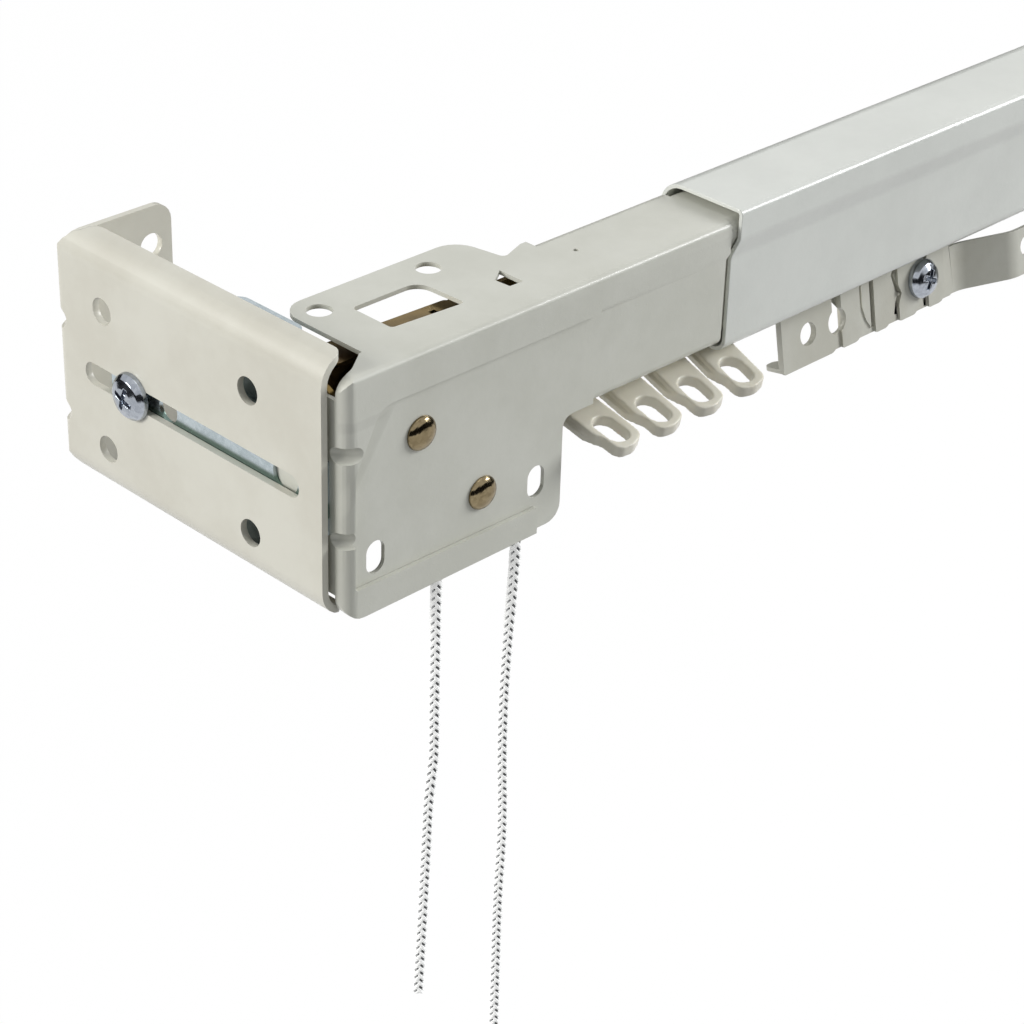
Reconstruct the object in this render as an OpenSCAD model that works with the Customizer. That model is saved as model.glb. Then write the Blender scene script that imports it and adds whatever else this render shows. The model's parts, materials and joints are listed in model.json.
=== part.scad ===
// Two-way cord-drawn curtain track: a telescoping steel rod between two wall brackets.
// X runs along the rod, Y points to the wall and Z is up.
// The origin is on the wall plane, midway between the screw holes of the left wall flange.

/* [Rod] */
// Distance between the outer faces of the two brackets with the rod closed
closed_length = 762; // [700:1:900]
// Sheet thickness of the two rod channels
rod_sheet = 0.8; // [0.6:0.05:0.9]
// Gap between the outer and the inner channel
rod_gap = 0.3; // [0.2:0.05:0.4]
// Height of the lips that the gliders ride on, above the outer channel's floor
rail_rise = 3.2; // [2.6:0.1:3.6]

/* [Bracket] */
// Height of the wall bracket
bracket_height = 48; // [46:0.5:54]
// Distance from the wall to the bracket's front edge
bracket_depth = 69.6; // [66:0.2:69.6]
// Sheet thickness of the wall bracket
bracket_sheet = 1.3; // [1:0.1:1.3]
// Width of the wall flange
flange_width = 25; // [22:0.5:32]
// Diameter of the wall screw holes
wall_hole = 4.8; // [4:0.1:6]
// Diameter of the four holes in the bracket's side
side_hole = 5; // [4:0.1:6]

/* [End housing] */
// Sheet thickness of the pressed end housing
housing_sheet = 0.8; // [0.7:0.1:1]
// Height from the housing's lower edge to its top plate
housing_height = 44.6; // [44:0.1:46]
// Diameter of the holes in the top plate
ear_hole = 4.6; // [3.6:0.1:6]
// Distance the top plate's ear reaches back behind the neck
ear_reach = 8.4; // [6:0.2:10]

/* [Pulleys] */
// Outer radius of a cord pulley
pulley_radius = 8.2; // [7.8:0.1:8.4]
// Width of a cord pulley
pulley_width = 4.6; // [4.2:0.1:4.6]
// Radius of the rivets' shanks
rivet_shank = 2; // [1.6:0.1:2.2]

/* [Gliders] */
// Distance between neighbouring gliders when they are pushed together
glider_pitch = 11.6; // [10.6:0.1:11.6]
// Length of a glider's eyelet in front of the slot
eyelet_reach = 14; // [12:0.5:17]
// Width of the eyelet at its round tip
eyelet_width = 8; // [6.4:0.2:8.6]

/* [Master gliders] */
// Thickness of the master plate
plate_sheet = 0.8; // [0.8:0.1:1.4]
// Length of the overlap arm past the plate
arm_length = 65; // [40:1:80]

/* [Cord] */
// Diameter of the draw cord
cord_diameter = 2.4; // [1.6:0.1:2.4]
// Length of the loose cord that ends in view
short_tail = 92; // [60:1:140]
// Length of the loose cord that runs on below the view
long_tail = 118; // [90:1:180]

/* [Hidden] */
$fn = 48;

// Steps of an arc where a path of sheet metal bends
bend_steps = 6;
eps = 0.05;

// Heights of the rod, measured from the bracket's lower edge
rod_floor = 17.8;
rod_top = 46.7;
rail_top = rod_floor + rail_rise;
neck_floor = rail_top - housing_sheet - 0.2;
housing_low = -0.1;
housing_top = housing_low + housing_height;
crease_low = 37;
crease_high = 38.6;

// Depths of the front and back faces, measured from the wall
strip_face = -72.9;
field_face = -72;
rod_strip_face = -73.9;
back_face = -54.5;
plug_field = -70.9;
plug_back = -55.7;
slot_front = -66.6;
slot_back = -60.4;

// Stations along the rod, from the outer face of the left bracket
rod_start = 94.1;
neck_end = 92.8;
neck_start = 52.6;
back_wall_start = 58.6;
plug_start = 88.5;
plug_end = 118;
inner_start = 128;
outer_end = closed_length - 107;
inner_end = closed_length - rod_start;
plug_step = rod_sheet + rod_gap;
housing_side = 2.2;
housing_bend = 1.2;
dent_heights = [15.1, 30.8];
ear_left = 11.3;
ear_back = back_face + ear_reach;

// Bracket
lip_edge = 4.9;
lip_bend = 5.2;
lip_rear = -13.5;
slot_low = 20.4;
slot_high = 24.6;
slot_rear_end = -8.1;
slot_front_end = -64.1;
side_hole_rear = -13.55;
side_hole_spacing = 38.1;
side_hole_low = bracket_height / 2 - 15;
side_hole_rise = 26.6;
flange_low = -3.3;
flange_high = bracket_height - 3.3;
web_bend = 2.6;
wall_hole_x = flange_width - 4.6;
wall_hole_rise = 26.4;
gusset_heights = [12, 30];

// Slide inside the bracket
slide_sheet = 0.8;
slide_side = bracket_sheet + 0.1;
slide_edge = 8;
wing_side = 4.6;
band_low = 15.5;
band_high = 29;
slide_rear = -13.6;
slide_front = -69;
screw_y = -21.1;
screw_z = (slot_low + slot_high) / 2;
screw_shank = 1.9;
threaded_hole_y = -59.2;

// Pulleys and the frame that carries them
upper_axle = [19.3, 29.2];
lower_axle = [33.5, 12.6];
upper_plane = -64.6;
lower_plane = -68.2;
return_plane = -66.5;
frame_sheet = 1;
frame_front = -60;
frame_top = 42.5;
frame_low = 4.5;
groove_root = 5;
cord_ride = 6.6;
pulley_play = 0.2;
bore_play = 0.12;
hub_radius = 3;
guide_axle = [46.8, 19.6];
guide_radius = 1.6;
guide_ride = 3;

// Gliders
first_glider = 62.2;
glider_front = -68.4;
glider_back = -58.6;
glider_height = 2;
glider_lift = 0.3;
glider_base = rail_top + glider_lift;
stem_front = -66.2;
stem_back = -61;
eyelet_level = 17.2;
eyelet_slope = 12;
eyelet_sheet = 2.3;
glider_turns = [0, -5, -9, -12];

// Master gliders
plate_front = -65.4;
plate_left = 117.1;
plate_right = 169.4;
plate_low = 3.8;
plate_tilt = 11;
panel_rise = 0.5;
plate_top = 15.1;
plate_hidden_top = 20.4;
arm_face = -71;
arm_turn = 182.5;
arm_tip = plate_right + arm_length;
master_screw_at = [159.1, 10.4];
master_shank = 1.6;
post_start = 139;
post_end = 149;

// Cord runs inside the rod
run_plane = -66.5;
low_run = 28;
high_run = upper_axle[1] + cord_ride;
cord_sides = 8;
cord_play = 0.4;
cord_split = closed_length - 130;
tail_top = -1.5;
climb = 15;

// Points along the two loose tails, from the housing down
left_tail_route = [[0, 0, 0], [0, 0, -27], [0, 0, -39], [-1, 0, -47], [-1.5, 0, -58],
    [-2, 0, -70], [-3, 0, -short_tail + 1.5]];
right_tail_route = [[0, 0, 0], [-0.5, 0, -13], [-1.5, 0, -26], [-2, 0, -37], [-2, 0, -50],
    [-1.5, 0, -62], [-1.5, 0, -72], [-2, 0, -85], [-2, 0, -long_tail + 1.5]];

// Direction of a vector
function unit(v) = v / norm(v);

// First two numbers of a path point
function flat(p) = [p[0], p[1]];

// Arc that rounds the corner at q between p and s with radius r
function corner(p, q, s, r) =
    is_undef(r) || r <= 0 ? [q] :
    let (u = unit(p - q), v = unit(s - q), half = acos(u * v) / 2,
        c = q + unit(u + v) * r / sin(half),
        a = q + u * r / tan(half) - c,
        b = q + v * r / tan(half) - c,
        start = atan2(a[1], a[0]),
        turn = atan2(a[0] * b[1] - a[1] * b[0], a * b))
    [for (i = [0:bend_steps]) c + r * [cos(start + turn * i / bend_steps), sin(start + turn * i / bend_steps)]];

// Path without points that fall on each other
function distinct(path) = [for (i = [0:len(path) - 1]) if (i == 0 || norm(path[i] - path[max(i - 1, 0)]) > 0.01) path[i]];

// Path with rounded corners: each point is x, y and an optional corner radius
function bent(path) = distinct([for (i = [0:len(path) - 1])
    each (i == 0 || i == len(path) - 1 ? [flat(path[i])]
        : corner(flat(path[i - 1]), flat(path[i]), flat(path[i + 1]), path[i][2]))]);

// Closed outline with rounded corners
function rounded(path) = let (n = len(path)) distinct([for (i = [0:n - 1])
    each corner(flat(path[(i + n - 1) % n]), flat(path[i]), flat(path[(i + 1) % n]), path[i][2])]);

// Right-hand normal of the segment from p to q
function side_of(p, q) = let (d = unit(q - p)) [d[1], -d[0]];

// Path moved to its right by t
function shifted(path, t) = let (n = len(path)) [for (i = [0:n - 1])
    let (a = i == 0 ? side_of(path[0], path[1]) : side_of(path[i - 1], path[i]),
        b = i == n - 1 ? a : side_of(path[i], path[i + 1]))
    path[i] + (a + b) * t / (1 + a * b)];

function reversed(list) = [for (i = [len(list) - 1:-1:0]) list[i]];

// Cross-section of a sheet that follows a path and is t thick on its right
module sheet(path, t) polygon(concat(path, reversed(shifted(path, t))));

module along_x(from, to) translate([from, 0, 0]) rotate([90, 0, 90]) linear_extrude(to - from) children();
module along_y(from, to) translate([0, to, 0]) rotate([90, 0, 0]) linear_extrude(to - from) children();
module along_z(from, to) translate([0, 0, from]) linear_extrude(to - from) children();

// Box between two corners
module box(a, b) translate(a) cube(b - a);

// Pin along Y between two depths at a point of the front face
module pin_y(at, r, from, to) translate([at[0], to, at[1]]) rotate([90, 0, 0]) cylinder(r = r, h = to - from);

// Pin along X between two stations
module pin_x(y, z, r, from, to) translate([from, y, z]) rotate([0, 90, 0]) cylinder(r = r, h = to - from);

// Hole along Z
module drill(x, y, r, from, to) translate([x, y, from]) cylinder(r = r, h = to - from);

// Upright slot with round ends, cut along Y
module upright_slot(x, low, high, r, from, to) {
    pin_y([x, low + r], r, from, to);
    pin_y([x, high - r], r, from, to);
    box([x - r, from, low + r], [x + r, to, high - r]);
}

// Moves the model so that its origin is at the left wall flange
module placed() translate([-wall_hole_x, 0, -bracket_height / 2]) children();

// Mirrored end of the rod
module at_right() translate([closed_length, 0, 0]) mirror([1, 0, 0]) children();

// Outer face of the rod channel; r is the radius of its top front bend
function rod_path(r) = bent([[slot_front, rail_top], [slot_front, rod_floor, 2.2], [field_face, rod_floor, 2.8],
    [field_face, crease_low, 3], [rod_strip_face, 41, 3], [rod_strip_face, rod_top, r],
    [back_face, rod_top, 4.8], [back_face, rod_floor, 3.3], [slot_back, rod_floor, 2.2], [slot_back, rail_top]]);

module outer_track_body() along_x(rod_start, outer_end) sheet(rod_path(1.2), rod_sheet);

module inner_track_body() along_x(inner_start, inner_end) sheet(shifted(rod_path(2.3), plug_step), rod_sheet);

// Solid block with the bracket's rounded bends; d shrinks it to the inside faces
module bracket_block(d) intersection() {
    along_y(-bracket_depth - d, -d) polygon(rounded([[d, d, lip_bend - d], [d, bracket_height - d, lip_bend - d],
        [lip_edge + 1 + d, bracket_height - d, 0], [lip_edge + 1 + d, d, 0]]));
    along_z(-1, bracket_height + 1) polygon(rounded([[d, -bracket_depth - d, 0], [d, -d, web_bend - d],
        [lip_edge + 1 + d, -d, 0], [lip_edge + 1 + d, -bracket_depth - d, 0]]));
    along_x(0, lip_edge + 1 + d) polygon(rounded([[-bracket_depth - d, d, 1 - min(d, 1)],
        [-bracket_depth - d, bracket_height - d, 1 - min(d, 1)], [-d, bracket_height - d, 9 - d], [-d, d, 8 - d]]));
}

// Stiffening dent across the wall bend
module gusset(z, r) translate([0.1, -0.1, z]) rotate([0, 90, 45]) cylinder(r = r, h = 12, center = true);

// Web with two curled lips that run to the wall
module bracket_web() intersection() {
    difference() {
        bracket_block(0);
        difference() {
            bracket_block(bracket_sheet);
            for (z = gusset_heights) gusset(z, 3.2);
        }
    }
    along_z(-1, bracket_height + 1) polygon(rounded([[-1, -bracket_depth, 0],
        [lip_edge, -bracket_depth, 2.2], [lip_edge, 1, 0], [-1, 1, 0]]));
}

// Flange against the wall
module bracket_flange() intersection() {
    box([web_bend, -bracket_sheet, flange_low], [flange_width, 0, flange_high]);
    along_y(-20, 1) polygon(rounded([[0, flange_low, 12], [0, flange_high, 6],
        [flange_width, flange_high, 3.5], [flange_width, flange_low, 3.5]]));
}

module wall_bracket_body() difference() {
    union() {
        bracket_web();
        bracket_flange();
    }
    for (z = gusset_heights) gusset(z, 2.2);
    for (y = [side_hole_rear, side_hole_rear - side_hole_spacing], z = [side_hole_low, side_hole_low + side_hole_rise])
        pin_x(y, z, side_hole / 2, -1, 3);
    for (y = [slot_rear_end - 2.1, slot_front_end + 2.1]) pin_x(y, screw_z, 2.1, -1, 3);
    box([-1, slot_front_end + 2.1, slot_low], [3, slot_rear_end - 2.1, slot_high]);
    for (s = [-1, 1])
        pin_y([wall_hole_x, bracket_height / 2 + s * wall_hole_rise / 2], wall_hole / 2, -3, 1);
}

// Slide that carries the housing inside the bracket
module bracket_slide_body() difference() {
    union() {
        intersection() {
            along_y(slide_front, slide_rear) sheet(bent([[slide_edge, 1.7], [wing_side, 1.7, 1.5],
                [wing_side, band_low - 1.5, 0.6], [slide_side, band_low, 1], [slide_side, band_high, 1],
                [wing_side, band_high + 1.5, 0.6], [wing_side, bracket_height - 1.7, 1.5],
                [slide_edge, bracket_height - 1.7]]), slide_sheet);
            union() {
                box([0, slide_front, band_low], [slide_side + slide_sheet, slide_rear, band_high]);
                along_z(0, bracket_height) polygon(rounded([[0, -57.6, 0], [slide_edge, -57.6, 2.5],
                    [slide_edge, -40.5, 2.5], [0, -40.5, 0]]));
            }
        }
        pin_x(threaded_hole_y, screw_z, 4.2, slide_side, slide_side + slide_sheet);
    }
    pin_x(screw_y, screw_z, screw_shank + 0.05, 0, 4);
    pin_x(-29, screw_z, 2.4, 0, 4);
    pin_x(threaded_hole_y, screw_z, 3.1, 0, 4);
}

// Pan head with a cross recess; the shank points along +Z
module cross_screw(head_r, head_h, shank_r, shank_l) difference() {
    union() {
        rotate_extrude() polygon([[0, -head_h], [head_r * 0.45, -head_h * 0.94], [head_r * 0.78, -head_h * 0.72],
            [head_r * 0.96, -head_h * 0.36], [head_r, 0], [0, 0]]);
        cylinder(r = shank_r, h = shank_l);
    }
    for (a = [0, 90]) rotate([0, 0, a]) box([-head_r * 0.5, -0.45, -head_h - 1], [head_r * 0.5, 0.45, -head_h * 0.4]);
}

module projection_screw_body() translate([0, screw_y, screw_z]) rotate([0, 90, 0]) rotate([0, 0, 20])
    cross_screw(4.4, 2.4, screw_shank, slide_side + slide_sheet + 2);

// Solid block with the housing's rounded corners; d shrinks it to the inside faces
module housing_block(d) intersection() {
    along_y(strip_face + d, -40) polygon(rounded([[housing_side + d, housing_top - d, 3.5 - d],
        [60, housing_top - d, 0], [60, neck_floor - 4 * d, 0], [neck_start, neck_floor - 4 * d, d > 0 ? 0 : 2.2],
        [neck_start, housing_low + 0.3 - 4 * d, d > 0 ? 0 : 3.2], [46.2, housing_low + 0.3 - 4 * d, 0],
        [46.2, housing_low - 4 * d, 0], [housing_side + d, housing_low - 4 * d, d > 0 ? 0 : 4]]));
    along_z(-10, 60) polygon(rounded([[housing_side + d, -39, 0], [housing_side + d, strip_face + d, 2.6 - d],
        [61, strip_face + d, 0], [61, -39, 0]]));
    along_x(0, 61) polygon(rounded([[-39, -11, 0], [strip_face + d, -11, 0],
        [strip_face + d, housing_top - d, housing_bend - d], [-39, housing_top - d, 0]]));
}

// Stiffening dent across the housing's upright front bend
module corner_dent(z, r) translate([housing_side + 0.83, strip_face + 0.83, z]) rotate([0, 90, -45])
    cylinder(r = r, h = 12, center = true);

// Area of the front face that is pressed in, grown by d
module field_area(d) polygon(rounded([[4.4 - d, 5.5 - d, 0.5], [4.4 - d, 27, 6], [9.8 - d, crease_low + 0.6 + d, 4],
    [61, crease_low + 0.6 + d, 0], [61, -6, 0], [46.2 - d, -6, 0], [46.2 - d, 5 - d, 0.5]]));

// Outline of the top plate, seen from above
module top_outline() polygon(rounded([[ear_left, strip_face - 1, 0], [ear_left, ear_back, 4.8],
    [51, ear_back, 5], [53, -56.5, 1], [back_wall_start, -54.5, 0], [62, -54.5, 0], [62, strip_face - 1, 0]]));

module housing_shell() difference() {
    housing_block(0);
    difference() {
        housing_block(housing_sheet);
        along_y(field_face, field_face + housing_sheet) field_area(1);
        intersection() {
            for (z = dent_heights) corner_dent(z, 2.4);
            box([0, -80, 0], [20, -69.6, 60]);
        }
    }
    for (z = dent_heights) corner_dent(z, 1.5);
    along_y(strip_face - 1, field_face) field_area(0);
    difference() {
        box([0, -66.6, 40.5], [62, -30, 50]);
        along_z(0, 60) top_outline();
    }
    along_z(40.5, 50) polygon(rounded([[-1, -60, 0], [-1, -70.4, 0], [5.5, -70.4, 5], [ear_left, -66.2, 3], [ear_left, -60, 0]]));
    for (z = [[4, band_low + 0.7], [band_high - 0.7, 50]])
        box([0, -57.9, z[0]], [housing_side + housing_sheet + 0.5, -30, z[1]]);
    box([0, -70.2, -5], [housing_side + housing_sheet + 0.5, -30, 4.5]);
    box([0, -50, -5], [housing_side + housing_sheet + 0.5, -30, 50]);
}

// Cross-sections of the neck and of the plug that enters the rod
neck_path = bent([[slot_front, neck_floor], [field_face, neck_floor, 1.8], [field_face, crease_low],
    [strip_face, crease_high], [strip_face, housing_top, housing_bend], [back_face, housing_top, 3],
    [back_face, neck_floor, 1.8], [slot_back, neck_floor]]);
plug_path = bent([[plug_field, 22.6], [plug_field, 37.4], [strip_face, 41.5], [strip_face, housing_top, 2.25],
    [plug_back, housing_top, 3.2], [plug_back, 22.6]]);
collar_path = bent([[field_face, 22.6], [field_face, crease_low], [strip_face, crease_high],
    [strip_face, housing_top, housing_bend], [back_face, housing_top, 3], [back_face, 22.6]]);

module housing_neck(step) {
    along_x(back_wall_start, neck_end) sheet(neck_path, housing_sheet);
    intersection() {
        along_x(neck_start - 1, back_wall_start + 1) sheet(neck_path, housing_sheet);
        box([0, -90, crease_low - 2], [100, -57, 60]);
    }
    along_x(neck_end - 1, neck_end) difference() {
        polygon(collar_path);
        polygon(shifted(plug_path, step + housing_sheet));
    }
    along_x(plug_start, plug_end) sheet(shifted(plug_path, step), housing_sheet);
}

module end_housing_body(step) difference() {
    union() {
        housing_shell();
        housing_neck(step);
    }
    for (at = [upper_axle, lower_axle]) pin_y(at, rivet_shank, -75, -70);
    upright_slot(9.4, 6.7, 12.8, 2, -75, -70);
    upright_slot(46.4, 6.7, 12.8, 2, -75, -70);
    for (x = [16, 40.3]) drill(x, -51, ear_hole / 2, 40, 50);
    along_z(40, 50) polygon(rounded([[20.6, -63.4, 0.8], [20.6, -53.8, 0.8], [35.4, -53.8, 3], [35.9, -64.6, 0.8]]));
    along_z(40, 50) polygon([[45.4, -61.8], [48.7, -59.6], [48.7, -65.2], [45.7, -65.1]]);
    drill(64.1, -62.5, 0.5, 40, 50);
    box([55.4, -56, 40], [back_wall_start, -54, 44]);
}

// Frame behind the pulleys
module pulley_frame_body() difference() {
    union() {
        along_y(frame_front, frame_front + frame_sheet) polygon(rounded([[housing_side + housing_sheet, frame_low, 3],
            [housing_side + housing_sheet, frame_top, 1], [56.5, frame_top, 1.5], [56.5, 37, 1.5],
            [50.5, 34, 1.5], [50.5, frame_low + 8, 4], [38, frame_low, 4]]));
        along_x(housing_side + housing_sheet, housing_side + housing_sheet + frame_sheet)
            polygon(rounded([[frame_front + frame_sheet, frame_low, 0], [-69.2, frame_low + 2, 3],
                [-69.2, 41, 3], [frame_front + frame_sheet, frame_top, 0]]));
        pin_y(guide_axle, guide_radius, upper_plane - 2.4, frame_front + eps);
        pin_y(guide_axle, guide_radius + 0.9, frame_front - 2.2, frame_front + eps);
        along_z(frame_top - 0.8, frame_top) polygon(rounded([[8, -57.2, 1], [8, -64.2, 1], [33.5, -64.2, 1],
            [35.7, -63, 1], [37.7, -60.8, 1], [36.9, -58.6, 1]]));
    }
    box([31.7, -61.4, frame_top - 1], [33.1, -60.2, frame_top + 1]);
    for (at = [upper_axle, lower_axle]) pin_y(at, rivet_shank, -62, -58);
    pin_y([12, 15], 4, -62, -58);
}

// Pulley turning about Y, centred on its own axle
module pulley_body(at, plane) translate([at[0], plane, at[1]]) rotate([90, 0, 0]) rotate_extrude($fn = 72)
    polygon([[rivet_shank + bore_play, -pulley_width / 2], [pulley_radius, -pulley_width / 2],
        [pulley_radius, -pulley_width / 2 + 0.4], [groove_root, -1.35], [groove_root, 1.35],
        [pulley_radius, pulley_width / 2 - 0.4], [pulley_radius, pulley_width / 2],
        [rivet_shank + bore_play, pulley_width / 2]]);

// Rivet with a domed head in front; its shoulders hold the pulley off the sheets
module rivet_body(at, plane, has_pulley) translate([at[0], 0, at[1]]) rotate([90, 0, 0]) rotate_extrude()
    let (front = -field_face, inner = -field_face - housing_sheet, web = -frame_front, tail = -frame_front - frame_sheet,
        near = -plane + pulley_width / 2 + pulley_play, far = -plane - pulley_width / 2 - pulley_play)
    polygon(concat([[0, tail - 0.9], [2.6, tail - 0.9], [3, tail], [rivet_shank, tail], [rivet_shank, web], [hub_radius, web]],
        has_pulley ? [[hub_radius, far], [rivet_shank, far], [rivet_shank, near], [hub_radius, near]] : [],
        [[hub_radius, inner], [rivet_shank, inner], [rivet_shank, front]],
        [for (a = [0:15:90]) [3.15 * cos(a), front + 1.5 * sin(a)]]));

// Glider with an eyelet in front of the slot, turned by its play in the slot
module glider_body(n) let (w = eyelet_width / 2, tip = -eyelet_reach) translate([first_glider + n * glider_pitch, 0, 0]) {
    box([-4.6, glider_front, glider_base], [4.6, glider_back, glider_base + glider_height]);
    box([-3.2, stem_front, eyelet_level - 2.4], [3.2, stem_back, glider_base + eps]);
    translate([0, -66, eyelet_level]) rotate([0, 0, glider_turns[n]]) rotate([eyelet_slope, 0, 0]) difference() {
        union() {
            along_z(-eyelet_sheet, 0) polygon(rounded([[w, 3, 0], [w, tip + 1.6, 2.2], [0.6, tip, 3], [-w + 1, tip + 0.2, 1.8],
                [-w + 0.9, tip + 4.2, 2], [-w, tip + 5.6, 2], [-w, 3, 0]]));
            along_z(-eyelet_sheet, -0.9) polygon(rounded([[-w - 0.7, 3, 0], [-w - 0.7, tip + 7.4, 1.5], [-w, tip + 5.9, 0],
                [0, tip + 5.9, 0], [0, 3, 0]]));
        }
        for (y = [tip + 6.7, tip + 3.9]) drill(-0.1, y, 2.3, -5, 2);
        along_z(-5, 2) translate([-2.4, tip + 3.9]) square([4.6, 2.8]);
    }
}

// Tilts what hangs below the rod about the plate's bend
module hung() translate([0, plate_front, plate_top]) rotate([-plate_tilt, 0, 0]) translate([0, -plate_front, -plate_top]) children();

// Raised panel of the master plate between two stations
module panel(from, to) along_y(plate_front - panel_rise, plate_front + eps)
    polygon(rounded([[from, plate_low - 0.2, 0.4], [from, plate_top, 0], [to, plate_top, 0], [to, plate_low - 0.2, 2]]));

// Front plate of a master glider, with or without the overlap arm
module master_plate_body(arm) {
    along_y(plate_front, plate_front + plate_sheet) polygon(rounded([[plate_left, plate_top, 0], [plate_left, plate_hidden_top, 1],
        [plate_right - 0.6, plate_hidden_top, 1], [plate_right - 0.6, plate_top, 0]]));
    hung() difference() {
        union() {
            along_y(plate_front, plate_front + plate_sheet) polygon(rounded([[plate_left, plate_low, 0.8], [plate_left, plate_top + 0.5, 0],
                [plate_right - 0.6, plate_top + 0.5, 0], [plate_right - 0.6, plate_low, arm ? 0.3 : 2]]));
            panel(plate_left, 133);
            panel(134.5, 140.2);
            panel(144.5, 149.2);
            panel(152, 158);
            panel(161.2, 166.3);
            along_y(plate_front - 0.3, plate_front + eps) polygon([[141, 14.2], [143.4, 14.7], [143.4, 4.9], [142, 7], [141, 10]]);
            along_z(plate_low, plate_low + plate_sheet) polygon(rounded([[plate_left + 0.1, plate_front, 0],
                [plate_left + 0.1, plate_front + 4.8, 1.4], [121, plate_front + 4.8, 1.6], [121, plate_front, 0]]));
            if (arm) intersection() {
                along_z(4, 13.8) sheet(reversed(bent([[166.5, plate_front], [171.5, plate_front, 7],
                    [arm_turn, arm_face, 7], [arm_tip, arm_face]])), plate_sheet);
                along_y(-80, -50) polygon(rounded([[160, 4, 0], [160, 13.8, 0], [arm_tip, 13.8, 2], [arm_tip, 4, 2]]));
            }
        }
        pin_y([124.65, 9.6], 2.3, -70, -60);
        pin_y([133.2, 9.5], 2.6, -70, -60);
        box([131.9, -70, 9.5], [134.6, -60, 14.6]);
        box([143.8, -70, 4.8], [144.5, -60, 14.6]);
        box([160.1, -70, plate_low + 0.3], [160.8, -60, 14.6]);
        along_y(-70, -60) sheet([[151.95, 14.6], [151.25, 13.2], [152.05, 11], [152.95, 9.2], [152.15, 7.5], [151.55, 5.1]], 0.7);
        pin_y(master_screw_at, master_shank + 0.1, -70, -60);
        if (arm) for (x = [186.8:20:arm_tip - 5]) pin_y([x, 9.8], 2, -75, -65);
    }
}

// Block inside the rod that the plate is screwed to; the cord passes through its post
module master_slider_body() difference() {
    union() {
        box([121, glider_front, glider_base], [165, glider_back, glider_base + 3]);
        box([121, plate_front + plate_sheet + 0.2, 13.6], [165, stem_back, glider_base + eps]);
        hung() box([139, plate_front + plate_sheet, 5], [167.4, -61, 15]);
        box([post_start, -68.4, glider_base + 3 - eps], [post_end, -63.4, high_run + 2.6]);
    }
    for (z = [low_run, high_run]) pin_x(run_plane, z, cord_diameter / 2 + cord_play, post_start - 1, post_end + 1);
    hung() {
        for (x = [[143.3, 145], [150.6, 153.4], [160, 161.3]])
            box([x[0], plate_front, 4], [x[1], plate_front + plate_sheet + 2.5, 14.8]);
        pin_y(master_screw_at, master_shank, plate_front - 1, -61.4);
    }
}

module master_screw_body() hung() translate([master_screw_at[0], plate_front - panel_rise, master_screw_at[1]]) rotate([-90, 0, 0])
    rotate([0, 0, 25]) cross_screw(4.1, 2.6, master_shank, plate_sheet + panel_rise + 2.6);

// Ring of points round a cord at p, square to direction d
function ring(p, d, r) = let (k = unit(d), a = unit(cross(k, [0, 1, 0.013])), b = cross(k, a))
    [for (i = [0:cord_sides - 1]) let (t = 360 * i / cord_sides) p + r * (a * cos(t) + b * sin(t))];

// Direction of a route at its point i
function heading(route, i) = i == 0 ? route[1] - route[0]
    : i == len(route) - 1 ? route[i] - route[i - 1]
    : unit(route[i] - route[i - 1]) + unit(route[i + 1] - route[i]);

// Cord along a route, as one closed tube
module cord(route) let (n = len(route), m = cord_sides) polyhedron(
    [for (i = [0:n - 1]) each ring(route[i], heading(route, i), cord_diameter / 2)],
    concat([[for (j = [0:m - 1]) j]],
        [for (i = [0:n - 2], j = [0:m - 1]) let (a = i * m + j, b = i * m + (j + 1) % m) [a, a + m, b + m, b]],
        [[for (j = [m - 1:-1:0]) (n - 1) * m + j]]));

// Arc of a route round an axle, from one angle to another
function wrap(at, plane, r, from, to, n) = [for (i = [0:n])
    let (a = from + (to - from) * i / n) [at[0] + r * cos(a), plane, at[1] + r * sin(a)]];

return_axle = [closed_length - upper_axle[0], upper_axle[1]];

module draw_cord_runs_body() {
    cord(concat([[lower_axle[0] - cord_ride, lower_plane, tail_top]],
        wrap(lower_axle, lower_plane, cord_ride, 180, 90 + climb, 8),
        [[58, lower_plane, 25.6], [80, run_plane, low_run], [cord_split, run_plane, low_run]]));
    cord(concat([[guide_axle[0] + guide_ride, upper_plane, tail_top]],
        wrap(guide_axle, upper_plane, guide_ride, 0, 90, 5),
        wrap(upper_axle, upper_plane, cord_ride, 270, 90, 12),
        [[50, upper_plane, high_run], [72, run_plane, high_run], [cord_split, run_plane, high_run]]));
}

module draw_cord_return_body() cord(concat([[cord_split, run_plane, low_run], [closed_length - 62, run_plane, low_run]],
    wrap(return_axle, return_plane, cord_ride, -90, 90, 14), [[cord_split, run_plane, high_run]]));

// Loose tail that starts at a point and follows a route below it
module tail(from, route) cord([for (p = route) from + p]);

module wall_bracket_left() color([0.82, 0.81, 0.76]) placed() wall_bracket_body();
module wall_bracket_right() color([0.82, 0.81, 0.76]) placed() at_right() wall_bracket_body();
module bracket_slide_left() color([0.77, 0.81, 0.82]) placed() bracket_slide_body();
module bracket_slide_right() color([0.77, 0.81, 0.82]) placed() at_right() bracket_slide_body();
module projection_screw_left() color([0.72, 0.74, 0.76]) placed() projection_screw_body();
module projection_screw_right() color([0.72, 0.74, 0.76]) placed() at_right() projection_screw_body();
module end_housing_left() color([0.8, 0.8, 0.77]) placed() end_housing_body(0);
module end_housing_right() color([0.8, 0.8, 0.77]) placed() at_right() end_housing_body(plug_step);
module pulley_frame_left() color([0.55, 0.47, 0.28]) placed() pulley_frame_body();
module pulley_frame_right() color([0.55, 0.47, 0.28]) placed() at_right() pulley_frame_body();
module upper_pulley_left() color([0.9, 0.9, 0.88]) placed() pulley_body(upper_axle, upper_plane);
module lower_pulley_left() color([0.9, 0.9, 0.88]) placed() pulley_body(lower_axle, lower_plane);
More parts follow.
